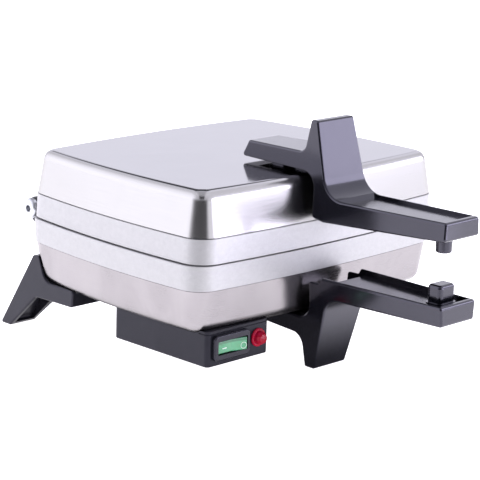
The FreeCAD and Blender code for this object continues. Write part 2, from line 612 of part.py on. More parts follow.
out["switch_box_screws"] = group([
    cyl(1.9, (x, y, z0 + 2.0), (x, y, BASE_BOT + 5)).fuse(cyl(3.4, (x, y, z0 + 0.6), (x, y, z0 + 3.0))) for x, y in BOX_SCREWS])
out["switch_box_nuts"] = group([
    Part.Face(Part.makePolygon([V(x + 3.4 * math.cos(math.radians(a)), y + 3.4 * math.sin(math.radians(a)), BASE_BOT + SHEET) for a in range(0, 361, 60)])
              ).extrude(V(0, 0, 2.6)).cut(cyl(1.92, (x, y, -60), (x, y, -40))) for x, y in BOX_SCREWS])

# rocker switch: housing with a raised bezel, rocker on two trunnions, blades at the back
BEZEL = 3.6                      # how far the bezel stands out from the panel
hs = slab_y(rect(ROCKER_X - 17.3, ROCKER_X + 17.0, ROCKER_Z - 9.2, ROCKER_Z + 9.2, 3.2), y0 - BEZEL, y0)
hs = round_edges(hs, 1.0, lambda e: abs(e.CenterOfMass.y - (y0 - BEZEL)) < 1e-3)
hs = hs.fuse(box(ROCKER_X - SW_W, ROCKER_X + SW_W, y0 - 0.5, y0 + 17.0, ROCKER_Z - SW_H, ROCKER_Z + SW_H))
hs = hs.cut(box(ROCKER_X - 14.4, ROCKER_X + 14.4, y0 - 6.0, y0 + 9.5, ROCKER_Z - 4.95, ROCKER_Z + 4.95))
PIVOT_Y = y0 + 3.0
hs = hs.cut(cyl(1.25, (ROCKER_X, PIVOT_Y, ROCKER_Z - 6.6), (ROCKER_X, PIVOT_Y, ROCKER_Z + 6.6)))
blades = []
for dx in (-9.0, 0.0, 9.0):
    hs = hs.cut(box(ROCKER_X + dx - 0.45, ROCKER_X + dx + 0.45, y0 + 13.0, y0 + 18, ROCKER_Z - 2.45, ROCKER_Z + 2.45))
    bl = box(ROCKER_X + dx - 0.4, ROCKER_X + dx + 0.4, y0 + 13.05, y0 + 26.0, ROCKER_Z - 2.4, ROCKER_Z + 2.4)
    bl = bl.cut(cyl(0.8, (ROCKER_X + dx - 2, y0 + 22.5, ROCKER_Z), (ROCKER_X + dx + 2, y0 + 22.5, ROCKER_Z)))
    blades.append(bl)
out["switch_housing"] = one(hs)
out["switch_blades"] = group(blades)
t7 = math.tan(math.radians(SWITCH_THROW / 2))
prof = [(-13.2, 2.2 + 13.2 * t7, 0.8), (0.0, 2.2, 6.0), (13.2, 2.2 + 13.2 * t7, 0.8), (12.6, -1.0, 1.5), (7.5, -5.2, 2.0), (-7.5, -5.2, 2.0), (-12.6, -1.0, 1.5)]
rk = Part.Face(rpoly(prof, lambda a, b: V(ROCKER_X + a, y0 - b, ROCKER_Z - 4.5))).extrude(V(0, 0, 9.0))
rk = round_edges(rk, 0.6, lambda e: abs(abs(e.CenterOfMass.z - ROCKER_Z) - 4.5) < 1e-3 and e.CenterOfMass.y < y0 - 0.5)
rk = rk.fuse(cyl(1.2, (ROCKER_X, PIVOT_Y, ROCKER_Z - 6.4), (ROCKER_X, PIVOT_Y, ROCKER_Z + 6.4)))
rk = one(rk)
# stored with the left end pressed in
rk.rotate(V(ROCKER_X, PIVOT_Y, 0), V(0, 0, 1), -SWITCH_THROW / 2)
out["switch_rocker"] = rk

# pilot lamp
def lathe_y(pts, cx, cz):
    """Solid of revolution about a Y line: pts hold (radius, outward distance from the panel)."""
    w = [V(cx + r, y0 - d, cz) for r, d in pts]
    return Part.Face(Part.makePolygon(w + [w[0]])).revolve(V(cx, 0, cz), V(0, 1, 0), 360)


lens = lathe_y([(0, 0.0), (6.7, 0.0), (6.7, 1.0), (6.1, 1.9), (5.2, 1.9), (5.0, 4.0), (4.4, 5.7), (3.0, 6.9), (0, 7.3)], LAMP_X, LAMP_Z)
lens = lens.fuse(cyl(4.2, (LAMP_X, y0 - 0.5, LAMP_Z), (LAMP_X, y0 + 3.0, LAMP_Z)))
out["pilot_lamp_lens"] = one(lens)
lb = cyl(4.9, (LAMP_X, y0 + 0.05, LAMP_Z), (LAMP_X, y0 + 16.0, LAMP_Z)).cut(cyl(4.25, (LAMP_X, y0, LAMP_Z), (LAMP_X, y0 + 3.1, LAMP_Z)))
for s in (1, -1):
    lb = lb.fuse(box(LAMP_X + s * 2.2 - 0.4, LAMP_X + s * 2.2 + 0.4, y0 + 15, y0 + 22, LAMP_Z - 1.5, LAMP_Z + 1.5))
out["pilot_lamp_body"] = one(lb)
ln = cyl(5.9, (LAMP_X, y0 + BOX_WALL + 0.02, LAMP_Z), (LAMP_X, y0 + BOX_WALL + 1.8, LAMP_Z)).cut(cyl(4.95, (LAMP_X, y0, LAMP_Z), (LAMP_X, y0 + 10, LAMP_Z)))
ln = ln.cut(box(x1 - BOX_WALL - 0.1, x1 + 5, y0, y0 + 20, LAMP_Z - 10, LAMP_Z + 10))
out["pilot_lamp_nut"] = one(ln)

# terminal block, cord bushing in the rear wall, wire grommet up into the base
tb = slab_z(rect(-103, -73, -58, -44, 1.5), z0 + BOX_WALL + 0.02, z0 + BOX_WALL + 11)
for dx in (-10, 0, 10):
    tb = tb.cut(cyl(2.2, (-88 + dx, -70, z0 + 7.5), (-88 + dx, -30, z0 + 7.5)))
    tb = tb.cut(cyl(1.8, (-88 + dx, -51, z0 + 7.5), (-88 + dx, -51, z0 + 20)))
out["terminal_block"] = one(tb)
cb = cyl(5.5, (INLET_X, y1 - 8.0, INLET_Z), (INLET_X, y1 + 0.1, INLET_Z)).fuse(cyl(8.0, (INLET_X, y1 + 0.05, INLET_Z), (INLET_X, y1 + 3.0, INLET_Z)))
cb = round_edges(cb, 1.2, lambda e: e.CenterOfMass.y > y1 + 2.9)
cb = cb.fuse(cyl(7.4, (INLET_X, y1 - BOX_WALL - 2.6, INLET_Z), (INLET_X, y1 - BOX_WALL - 0.05, INLET_Z)))
CORD_R = 3.6
cb = cb.cut(cyl(CORD_R, (INLET_X, y1 - 20, INLET_Z), (INLET_X, y1 + 20, INLET_Z)))
out["cord_bushing"] = one(cb)
gm = cyl(4.9, (WIRE_X, WIRE_Y, BASE_BOT - 0.1), (WIRE_X, WIRE_Y, BASE_BOT + SHEET + 0.1))
gm = gm.fuse(cyl(7.0, (WIRE_X, WIRE_Y, BASE_BOT - 2.0), (WIRE_X, WIRE_Y, BASE_BOT - 0.02))).fuse(
    cyl(7.0, (WIRE_X, WIRE_Y, BASE_BOT + SHEET + 0.02), (WIRE_X, WIRE_Y, BASE_BOT + SHEET + 2.0)))
gm = gm.cut(cyl(3.0, (WIRE_X, WIRE_Y, -70), (WIRE_X, WIRE_Y, -30)))
out["wire_grommet"] = one(gm)


# ---- hinge --------------------------------------------------------------------------------------
def lug(kx0, kx1, up):
    """Hinge lug of the left side: flange on the casting's rear pad, web and knuckle. up = 1 for the lid."""
    zl, zh = (GAP + 0.8, BAND - 1.0) if up > 0 else (-(BAND - 1.0), -(GAP + 0.8))
    f = slab_y(rect(-97.6, -65.4, zl, zh, 2.0), 97.05, 101.8)
    web = slab_x([(100.0, 1.6 * up, 0), (100.0, 14.0 * up, 0), (107.0, 13.7 * up, 6.0), (114.0, 12.6 * up, 5.0), (118.6, 10.4 * up, 4.0), (121.9, 5.2 * up, 2.0), (HINGE_Y, 1.6 * up, 0)], kx0, kx1)
    web = round_edges(web, 1.0, lambda e: e.BoundBox.XLength < 1e-3 and e.CenterOfMass.y > 107.5 and abs(e.CenterOfMass.z) > 6.0)
    k = cyl(KNUCKLE_R, (kx0, HINGE_Y, HINGE_Z), (kx1, HINGE_Y, HINGE_Z))
    k = round_edges(k, 1.0, lambda e: True)
    s = f.fuse(web).fuse(k)
    r = BOLT_R + (0.06 if up > 0 else 0.03)
    s = s.cut(cyl(r, (kx0 - 5, HINGE_Y, HINGE_Z), (kx1 + 5, HINGE_Y, HINGE_Z)))
    for x in LUG_SCREW_X:
        s = s.cut(cyl(1.85, (-x, 96, up * LUG_SCREW_Z), (-x, 101.0, up * LUG_SCREW_Z)))
    return one(s)


bl = lug(-95.6, -82.0, -1)
ll = lug(-81.5, -68.0, 1)
out["base_hinge_lugs"] = group([bl, mirror_x(bl)])
out["lid_hinge_lugs"] = group([ll, mirror_x(ll)])


def bolt():
    """Button-head shoulder bolt with a hex socket, along +X from the left side."""
    b = cyl(BOLT_R, (-96.5, HINGE_Y, HINGE_Z), (-60.5, HINGE_Y, HINGE_Z))
    h = cyl(7.7, (-98.0, HINGE_Y, HINGE_Z), (-102.3, HINGE_Y, HINGE_Z))
    h = round_edges(h, 2.8, lambda e: e.CenterOfMass.x < -102.2)
    b = b.fuse(h).fuse(cyl(5.8, (-95.9, HINGE_Y, HINGE_Z), (-98.2, HINGE_Y, HINGE_Z)))
    hexa = Part.Face(Part.makePolygon([V(-104, HINGE_Y + 2.9 * math.cos(math.radians(a)), HINGE_Z + 2.9 * math.sin(math.radians(a))) for a in range(0, 361, 60)]))
    return one(b.cut(hexa.extrude(V(5.2, 0, 0))))


def nut():
    n = Part.Face(Part.makePolygon([V(-67.5, HINGE_Y + 7.5 * math.cos(math.radians(a)), HINGE_Z + 7.5 * math.sin(math.radians(a))) for a in range(0, 361, 60)]))
    n = n.extrude(V(6.0, 0, 0)).cut(cyl(BOLT_R + 0.02, (-80, HINGE_Y, HINGE_Z), (-50, HINGE_Y, HINGE_Z)))
    return one(n.common(cone(7.9, 7.0, (-67.5, HINGE_Y, HINGE_Z), (-60.5, HINGE_Y, HINGE_Z))))


bo, nu = bolt(), nut()
out["hinge_bolts"] = group([bo, mirror_x(bo)])
out["hinge_nuts"] = group([nu, mirror_x(nu)])


def lug_screw(x, up):
    z = up * LUG_SCREW_Z
    yi = wall_y(abs(x)) - 0.02
    return cyl(1.8, (x, yi - 0.5, z), (x, 100.5, z)).fuse(cyl(3.2, (x, yi - 2.2, z), (x, yi, z)))


def wall_y(x):
    """Inside of the casting's rear wall, lowest over the width of a screw head."""
    c = SIDES[2]
    r = c[2] - 8.0
    return c[1] + math.sqrt(r * r - (x + 3.4 - c[0]) ** 2)


out["base_lug_screws"] = group([lug_screw(s * x, -1) for x in LUG_SCREW_X for s in (1, -1)])
out["lid_lug_screws"] = group([lug_screw(s * x, 1) for x in LUG_SCREW_X for s in (1, -1)])

# ---- write every piece --------------------------------------------------------------------------
os.makedirs("parts", exist_ok=True)
for name, s in out.items():
    s = s.copy()
    s.translate(V(-CENTRE_X, -CENTRE_Y, -GROUND))
    bb = s.BoundBox
    print("%-22s solids %2d valid %s vol %9.1f  x %7.1f %7.1f  y %7.1f %7.1f  z %7.1f %7.1f" % (
        name, len(s.Solids), s.isValid(), s.Volume, bb.XMin, bb.XMax, bb.YMin, bb.YMax, bb.ZMin, bb.ZMax))
    s.exportStep("parts/%s.step" % name)
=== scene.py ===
import math

import bmesh
import bpy
from mathutils import Matrix, Vector
from mathutils.bvhtree import BVHTree


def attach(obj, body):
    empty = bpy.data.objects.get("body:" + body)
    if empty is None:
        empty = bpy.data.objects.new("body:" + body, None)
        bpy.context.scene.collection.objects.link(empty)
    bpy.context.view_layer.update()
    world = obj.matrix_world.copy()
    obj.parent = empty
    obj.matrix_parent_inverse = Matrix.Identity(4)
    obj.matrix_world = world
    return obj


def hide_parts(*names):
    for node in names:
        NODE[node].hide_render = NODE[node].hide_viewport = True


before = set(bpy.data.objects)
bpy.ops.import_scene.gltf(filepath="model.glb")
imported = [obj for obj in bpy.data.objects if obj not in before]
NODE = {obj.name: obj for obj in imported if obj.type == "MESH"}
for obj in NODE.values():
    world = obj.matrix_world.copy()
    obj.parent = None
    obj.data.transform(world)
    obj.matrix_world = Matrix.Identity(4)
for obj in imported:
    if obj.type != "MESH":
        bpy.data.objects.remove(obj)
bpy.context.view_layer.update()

SCENE = bpy.context.scene
PART_Z = 0.0916                      # parting plane between the two halves
SCENE.view_settings.view_transform = "Standard"
SCENE.view_settings.look = "None"


# ---------------------------------------------------------------- camera
def make_camera():
    a, e, roll = math.radians(-45.1312), math.radians(13.9159), math.radians(1.57494)
    back = Vector((math.sin(a) * math.cos(e), -math.cos(a) * math.cos(e), math.sin(e)))
    right = Vector((math.cos(a), math.sin(a), 0.0))
    up = back.cross(right)
    r = math.cos(roll) * right + math.sin(roll) * up
    u = -math.sin(roll) * right + math.cos(roll) * up
    data = bpy.data.cameras.new("camera")
    data.sensor_width, data.lens = 36.0, 146.042
    data.clip_start, data.clip_end = 0.05, 60.0
    cam = bpy.data.objects.new("camera", data)
    SCENE.collection.objects.link(cam)
    m = Matrix.Identity(4)
    for i, c in enumerate((r, u, back)):
        m[0][i], m[1][i], m[2][i] = c
    m[0][3], m[1][3], m[2][3] = -1.014215, -0.974111, 0.429708
    cam.matrix_world = m
    SCENE.camera = cam


make_camera()


# ---------------------------------------------------------------- material kit
class Mat:
    """One procedural material on object coordinates, which are the row frame in metres for every CAD node."""

    def __init__(self, name, **values):
        self.m = bpy.data.materials.new(name)
        self.m.use_nodes = True
        self.t = self.m.node_tree
        self.b = next(n for n in self.t.nodes if n.type == "BSDF_PRINCIPLED")
        self.coord = self.t.nodes.new("ShaderNodeTexCoord")
        for k, v in values.items():
            self.set(k.replace("_", " "), v)

    def set(self, socket, value):
        s = self.b.inputs[socket]
        s.default_value = (*value, 1.0) if isinstance(value, tuple) and len(value) == 3 and s.type == "RGBA" else value
        return self

    def link(self, a, b):
        self.t.links.new(a, b)

    def to(self, value, socket):
        self.link(value, self.b.inputs[socket])

    def vector(self, scale=(1, 1, 1), rot=(0, 0, 0), loc=(0, 0, 0)):
        n = self.t.nodes.new("ShaderNodeMapping")
        n.inputs["Scale"].default_value = scale
        n.inputs["Rotation"].default_value = rot
        n.inputs["Location"].default_value = loc
        self.link(self.coord.outputs["Object"], n.inputs["Vector"])
        return n.outputs["Vector"]

    def noise(self, scale, detail=3.0, rough=0.55, stretch=(1, 1, 1), distort=0.0, rot=(0, 0, 0)):
        n = self.t.nodes.new("ShaderNodeTexNoise")
        n.inputs["Scale"].default_value = scale
        n.inputs["Detail"].default_value = detail
        n.inputs["Roughness"].default_value = rough
        n.inputs["Distortion"].default_value = distort
        self.link(self.vector(stretch, rot), n.inputs["Vector"])
        return n.outputs["Fac"]

    def cells(self, scale, stretch=(1, 1, 1), feature="F1"):
        n = self.t.nodes.new("ShaderNodeTexVoronoi")
        n.feature = feature
        n.inputs["Scale"].default_value = scale
        self.link(self.vector(stretch), n.inputs["Vector"])
        return n.outputs["Distance"]

    def wave(self, scale, direction="Z", distort=0.0, stretch=(1, 1, 1), kind="BANDS"):
        n = self.t.nodes.new("ShaderNodeTexWave")
        n.wave_type = kind
        if kind == "BANDS":
            n.bands_direction = direction
        else:
            n.rings_direction = direction
        n.inputs["Scale"].default_value = scale
        n.inputs["Distortion"].default_value = distort
        self.link(self.vector(stretch), n.inputs["Vector"])
        return n.outputs["Fac"]

    def ramp(self, fac, stops, smooth=False):
        n = self.t.nodes.new("ShaderNodeValToRGB")
        n.color_ramp.interpolation = "EASE" if smooth else "LINEAR"
        e = n.color_ramp.elements
        while len(e) < len(stops):
            e.new(0.5)
        for k, (p, c) in zip(e, stops):
            k.position = p
            k.color = (c, c, c, 1.0) if isinstance(c, (int, float)) else (*c, 1.0)
        self.link(fac, n.inputs["Fac"])
        return n.outputs["Color"]

    def remap(self, value, a, b, lo, hi, smooth=False):
        n = self.t.nodes.new("ShaderNodeMapRange")
        n.interpolation_type = "SMOOTHSTEP" if smooth else "LINEAR"
        for k, v in zip(("From Min", "From Max", "To Min", "To Max"), (a, b, lo, hi)):
            n.inputs[k].default_value = v
        self.link(value, n.inputs["Value"])
        return n.outputs["Result"]

    def math(self, op, a, b=None):
        n = self.t.nodes.new("ShaderNodeMath")
        n.operation = op
        for i, v in enumerate((a, b)):
            if v is None:
                continue
            if isinstance(v, (int, float)):
                n.inputs[i].default_value = v
            else:
                self.link(v, n.inputs[i])
        return n.outputs["Value"]

    def mix(self, fac, a, b, how="MIX"):
        n = self.t.nodes.new("ShaderNodeMix")
        n.data_type, n.blend_type = "RGBA", how
        for i, v in ((0, fac), (6, a), (7, b)):
            if isinstance(v, (int, float)):
                n.inputs[i].default_value = v if i == 0 else (v, v, v, 1.0)
            elif isinstance(v, tuple):
                n.inputs[i].default_value = (*v, 1.0)
            else:
                self.link(v, n.inputs[i])
        return n.outputs[2]

    def xyz(self, what="Object"):
        n = self.t.nodes.new("ShaderNodeSeparateXYZ")
        self.link(self.coord.outputs[what], n.inputs[0])
        return n.outputs

    def bump(self, height, strength, distance, base=None):
        n = self.t.nodes.new("ShaderNodeBump")
        n.inputs["Strength"].default_value = strength
        n.inputs["Distance"].default_value = distance
        self.link(height, n.inputs["Height"])
        if base is not None:
            self.link(base, n.inputs["Normal"])
        return n.outputs["Normal"]

    def normal(self, socket):
        self.link(socket, self.b.inputs["Normal"])
        return self

    def round_body(self, amount):
        """Brushing that runs level round the body, so reflections are drawn out up and down."""
        n = self.t.nodes.new("ShaderNodeTangent")
        n.direction_type, n.axis = "RADIAL", "Z"
        self.link(n.outputs["Tangent"], self.b.inputs["Tangent"])
        self.b.inputs["Anisotropic Rotation"].default_value = 0.25
        if isinstance(amount, (int, float)):
            self.b.inputs["Anisotropic"].default_value = amount
        else:
            self.link(amount, self.b.inputs["Anisotropic"])


def steel_cover(name, tint, rough_top, rough_side, grazing, grain, painted_side_shade, ripple, cloud):
    """Stamped stainless sheet: a polished crown, satin sides brushed round the body, faint wipe marks, and painted
    shade that makes the sides darker than the crown.
    """
    k = Mat(name, Metallic=1.0, IOR=1.5, Specular_Tint=(grazing, grazing, grazing))
    n = k.xyz("Normal")
    flat = k.remap(k.math("ABSOLUTE", n[2]), 0.80, 0.985, 0.0, 1.0, True)
    side_brush = k.noise(1.0, 4.0, 0.6, (26, 26, 2400))
    top_brush = k.noise(1.0, 4.0, 0.6, (22, 2200, 22))
    brush = k.mix(flat, side_brush, top_brush)
    wipe = k.noise(14.0, 3.0, 0.55, (1, 1.6, 1), 0.8)
    dark, light = tuple(c * 0.955 for c in tint), tuple(min(1.0, c * 1.035) for c in tint)
    colour = k.ramp(brush, [(0.25, dark), (0.75, light)])
    colour = k.mix(k.remap(wipe, 0.35, 0.7, 0.0, 0.35 + cloud), colour, tuple(c * (0.95 - 0.25 * cloud) for c in tint))
    # painted shade: faces that look sideways get their colour multiplied by the side factor, so the sheet's sides come
    # out darker than its crown
    k.to(k.mix(k.remap(flat, 0.0, 1.0, 1.0, 0.0), colour, (painted_side_shade, painted_side_shade * 0.995, painted_side_shade * 0.955), "MULTIPLY"), "Base Color")
    base = k.remap(flat, 0.0, 1.0, rough_side, rough_top)
    wob = k.math("MULTIPLY", k.remap(brush, 0.2, 0.8, -1.0, 1.0), k.remap(flat, 0.0, 1.0, 0.018, 0.012))
    smear = k.remap(wipe, 0.4, 0.75, 0.0, 0.03)
    k.to(k.math("ADD", k.math("ADD", base, wob), smear), "Roughness")
    k.round_body(k.remap(flat, 0.0, 1.0, grain, 0.0))
    b = k.bump(k.noise(17.0, 2.0, 0.5, (1, 1, 1.5)), ripple, 0.01)
    return k.normal(k.bump(brush, 0.018, 0.0001, b)).m


def cast_aluminium(name):
    """Blasted casting: fine grain, soft mottling, faint linishing round the rim, darker seasoned grid on the cooking side."""
    k = Mat(name, Metallic=0.6, IOR=1.45)
    p, n = k.xyz(), k.xyz("Normal")
    grain = k.noise(1150.0, 4.0, 0.65)
    pit = k.cells(420.0)
    mottle = k.noise(230.0, 4.0, 0.6, (1, 1, 1.5), 0.4)
    line = k.noise(1.0, 3.0, 0.6, (34, 34, 1500))
    colour = k.ramp(mottle, [(0.3, (0.382, 0.379, 0.382)), (0.52, (0.400, 0.397, 0.400)), (0.72, (0.418, 0.415, 0.418))])
    colour = k.mix(k.remap(grain, 0.35, 0.7, 0.0, 0.3), colour, (0.33, 0.326, 0.336))
    inner = k.math("MULTIPLY", k.remap(k.math("ABSOLUTE", k.math("ADD", p[0], 0.00145)), 0.1110, 0.1085, 0.0, 1.0, True),
                   k.remap(k.math("ABSOLUTE", k.math("SUBTRACT", p[1], 0.046)), 0.0900, 0.0875, 0.0, 1.0, True))
    season = k.math("MULTIPLY", inner, k.remap(k.noise(38.0, 5.0, 0.6, (1, 1, 1), 0.6), 0.3, 0.75, 0.55, 1.0))
    toast = k.ramp(k.noise(120.0, 4.0, 0.6), [(0.3, (0.18, 0.171, 0.162)), (0.7, (0.28, 0.271, 0.262))])
    k.to(k.mix(season, colour, toast), "Base Color")
    rough = k.math("ADD", k.remap(mottle, 0.3, 0.7, 0.47, 0.42), k.remap(grain, 0.3, 0.7, -0.03, 0.05))
    k.to(k.math("ADD", rough, k.math("MULTIPLY", inner, 0.05)), "Roughness")
    k.round_body(0.3)
    b = k.bump(grain, 0.16, 0.00012)
    b = k.bump(pit, 0.05, 0.00015, b)
    return k.normal(k.bump(line, 0.05, 0.0001, b)).m


def thermoset(name, deep, pale, rough, peel, ior=1.5, grain=0.0, shine=0.5):
    """Compression-moulded black: faint flow clouds, slight orange peel, handling haze."""
    k = Mat(name, IOR=ior, Specular_IOR_Level=shine, Specular_Tint=(0.86, 0.84, 1.0))
    cloud = k.noise(34.0, 4.0, 0.6, (1, 1, 1), 1.2)
    speck = k.noise(2600.0, 2.0, 0.5)
    colour = k.ramp(cloud, [(0.3, deep), (0.7, pale)])
    colour = k.mix(k.remap(speck, 0.62, 0.75, 0.0, 0.35), colour, tuple(min(1, c * 2.2) for c in pale))
    k.to(colour, "Base Color")
    haze = k.noise(48.0, 4.0, 0.6, (1, 1.4, 1), 0.8)
    r = k.math("ADD", k.remap(haze, 0.3, 0.72, rough * 0.88, rough * 1.16), k.remap(speck, 0.3, 0.7, -0.012, 0.012))
    k.to(r, "Roughness")
    b = k.bump(k.noise(420.0, 2.0, 0.5), peel, 0.0002)
    if grain:
        b = k.bump(k.noise(1700.0, 3.0, 0.6), grain, 0.00012, b)
    return k.normal(b).m


def plated(name, tint, rough):
    """Bright zinc plate: slight blue cast, cloudy passivation, fine turning marks."""
    k = Mat(name, Metallic=1.0, IOR=1.5)
    cloud = k.noise(240.0, 4.0, 0.6, (1, 1, 1), 0.8)
    fine = k.noise(2200.0, 3.0, 0.6, (0.2, 1, 1))
    k.to(k.ramp(cloud, [(0.3, tuple(c * 0.9 for c in tint)), (0.7, tint)]), "Base Color")
    k.to(k.math("ADD", k.remap(cloud, 0.3, 0.7, rough * 1.2, rough * 0.85), k.remap(fine, 0.3, 0.7, -0.03, 0.03)), "Roughness")
    return k.normal(k.bump(fine, 0.05, 0.0001)).m


def painted(name, tint, rough):
    """Satin paint on steel with a little orange peel and dust."""
    k = Mat(name, IOR=1.5)
    cloud = k.noise(160.0, 4.0, 0.6)
    k.to(k.ramp(cloud, [(0.35, tint), (0.75, tuple(c * 1.7 + 0.006 for c in tint))]), "Base Color")
    k.to(k.remap(cloud, 0.3, 0.7, rough * 0.85, rough * 1.15), "Roughness")
    return k.normal(k.bump(k.noise(900.0, 2.0, 0.5), 0.08, 0.0002)).m


def rocker_plastic(name):
    """Clear green moulding with fine flow lines: a painted highlight brightens the middle of the face, and a painted
    shadow darkens the strip along the top edge.
    """
    k = Mat(name, IOR=1.5, Coat_Weight=0.6, Coat_Roughness=0.06, Subsurface_Weight=0.25, Subsurface_Scale=0.002)
    p = k.xyz()
    # painted highlight: the middle of the rocker face, round x = -0.09415, is mixed halfway towards a pale green
    mid = k.remap(k.math("ABSOLUTE", k.math("SUBTRACT", p[0], -0.09415)), 0.0, 0.0135, 1.0, 0.0, True)
    flow = k.noise(420.0, 4.0, 0.6, (1, 1, 2.2), 0.5)
    body = k.ramp(flow, [(0.3, (0.018, 0.205, 0.076)), (0.7, (0.038, 0.275, 0.115))])
    face = k.mix(k.math("MULTIPLY", mid, 0.5), body, (0.092, 0.36, 0.19))
    # painted shadow of the housing's upper lip: the rocker's top strip, above z = 0.0334, turns deep green
    k.to(k.mix(k.remap(p[2], 0.0334, 0.0342, 0.0, 0.75, True), face, (0.010, 0.105, 0.045)), "Base Color")
    k.to(k.remap(flow, 0.3, 0.7, 0.16, 0.24), "Roughness")
    return k.normal(k.bump(flow, 0.04, 0.0002)).m


def lamp_plastic(name):
    """Clear red moulding with fine radial flutes under a bright skin."""
    k = Mat(name, IOR=1.52, Specular_IOR_Level=0.14, Coat_Weight=0.03, Coat_Roughness=0.04, Subsurface_Weight=0.2, Subsurface_Scale=0.0015)
    cloud = k.noise(520.0, 3.0, 0.55, (1, 1, 1), 0.6)
    p = k.xyz()
    front = k.remap(p[1], -0.0583, -0.0520, 1.0, 0.0, True)
    body = k.ramp(cloud, [(0.3, (0.17, 0.001, 0.006)), (0.7, (0.26, 0.002, 0.012))])
    k.to(k.mix(k.math("MULTIPLY", front, 0.55), (0.32, 0.006, 0.028), body), "Base Color")
    k.to(k.remap(cloud, 0.3, 0.7, 0.12, 0.2), "Roughness")
    return k.normal(k.bump(cloud, 0.03, 0.0002)).m


def heated_sheath(name):
    """Tube sheath with straw and blue heat tint and an oxide bloom."""
    k = Mat(name, Metallic=1.0, IOR=1.5)
    tint = k.noise(55.0, 4.0, 0.6, (1, 1, 1), 0.5)
    k.to(k.ramp(tint, [(0.25, (0.20, 0.19, 0.22)), (0.5, (0.36, 0.31, 0.25)), (0.75, (0.45, 0.42, 0.38))]), "Base Color")
    k.to(k.remap(tint, 0.3, 0.7, 0.5, 0.34), "Roughness")
    return k.normal(k.bump(k.noise(1400.0, 3.0, 0.6), 0.1, 0.0002)).m


def mill_sheet(name, tint, rough):
    """Rolled sheet with mill lines along its length."""
    k = Mat(name, Metallic=1.0, IOR=1.45)
    line = k.noise(1.0, 4.0, 0.6, (40, 1900, 40))
    k.to(k.ramp(line, [(0.3, tuple(c * 0.92 for c in tint)), (0.7, tint)]), "Base Color")
    k.to(k.remap(line, 0.3, 0.7, rough * 1.15, rough * 0.85), "Roughness")
    return k.normal(k.bump(line, 0.06, 0.0001)).m


def braid(name):
    """Braided glass sleeve: two crossing sets of fine strands."""
    k = Mat(name, Sheen_Weight=0.3, IOR=1.45)
    a = k.wave(900.0, "DIAGONAL")
    b = k.wave(900.0, "DIAGONAL", 0.0, (-1, 1, 1))
    w = k.math("MAXIMUM", a, b)
    k.to(k.ramp(w, [(0.2, (0.55, 0.53, 0.47)), (0.8, (0.84, 0.82, 0.75))]), "Base Color")
    k.to(k.remap(w, 0.0, 1.0, 0.9, 0.7), "Roughness")
    return k.normal(k.bump(w, 0.4, 0.0002)).m


def pale_moulding(name, tint, rough):
    """Pale moulded insulator with slight flow shading."""
    k = Mat(name, IOR=1.5)
    flow = k.noise(120.0, 4.0, 0.6, (1, 1, 1), 0.8)
    k.to(k.ramp(flow, [(0.3, tuple(c * 0.9 for c in tint)), (0.7, tint)]), "Base Color")
    k.to(k.remap(flow, 0.3, 0.7, rough * 1.1, rough * 0.9), "Roughness")
    return k.normal(k.bump(k.noise(1100.0, 2.0, 0.5), 0.06, 0.0002)).m


def rubber(name):
    """Moulded rubber with a light bloom."""
    k = Mat(name, IOR=1.45)
    bloom = k.noise(180.0, 4.0, 0.6, (1, 1, 1), 0.6)
    k.to(k.ramp(bloom, [(0.35, (0.018, 0.018, 0.019)), (0.8, (0.05, 0.05, 0.05))]), "Base Color")
    k.to(k.remap(bloom, 0.3, 0.7, 0.62, 0.78), "Roughness")
    return k.normal(k.bump(k.noise(1500.0, 3.0, 0.6), 0.15, 0.0002)).m


def mark_paint(name):
    """White printing ink, a little uneven."""
    k = Mat(name, IOR=1.5)
    n = k.noise(2600.0, 3.0, 0.6)
    k.to(k.ramp(n, [(0.3, (0.40, 0.52, 0.45)), (0.7, (0.54, 0.66, 0.59))]), "Base Color")
    k.to(k.remap(n, 0.3, 0.7, 0.5, 0.38), "Roughness")
    return k.normal(k.bump(n, 0.1, 0.0001)).m


LOOK = {
    "lid_steel": steel_cover("lid_steel", (0.535, 0.529, 0.540), 0.085, 0.205, 0.72, 0.78, 0.755, 0.02, 0.05),
    "base_steel": steel_cover("base_steel", (0.326, 0.308, 0.327), 0.22, 0.25, 0.85, 0.60, 1.0, 0.14, 0.5),
    "cast": cast_aluminium("cast_aluminium"),
    "handle": thermoset("handle_black", (0.003, 0.003, 0.005), (0.006, 0.006, 0.009), 0.16, 0.025, 1.6),
    "leg": thermoset("leg_black", (0.006, 0.006, 0.009), (0.010, 0.010, 0.014), 0.34, 0.05, 1.5, 0.06, 0.30),
    "box": thermoset("box_black", (0.006, 0.006, 0.009), (0.010, 0.010, 0.014), 0.34, 0.04, 1.5, 0.05, 0.22),
    "switch": thermoset("switch_black", (0.004, 0.004, 0.006), (0.008, 0.008, 0.011), 0.26, 0.03, 1.5, 0.0, 0.4),
    "rocker": rocker_plastic("rocker_green"),
    "lamp": lamp_plastic("lamp_red"),
    "zinc": plated("zinc_steel", (0.52, 0.53, 0.555), 0.34),
    "lug": painted("lug_black", (0.018, 0.018, 0.021), 0.42),
    "element": heated_sheath("element_sheath"),
    "reflector": mill_sheet("reflector_sheet", (0.46, 0.46, 0.47), 0.28),
    "thermostat": plated("thermostat_metal", (0.40, 0.40, 0.39), 0.34),
    "fuse": braid("fuse_sleeve"),
    "terminal": pale_moulding("terminal_white", (0.84, 0.83, 0.78), 0.45),
    "brass": plated("brass_strip", (0.46, 0.34, 0.15), 0.28),
    "rubber": rubber("rubber_black"),
    "mark": mark_paint("mark_white"),
}
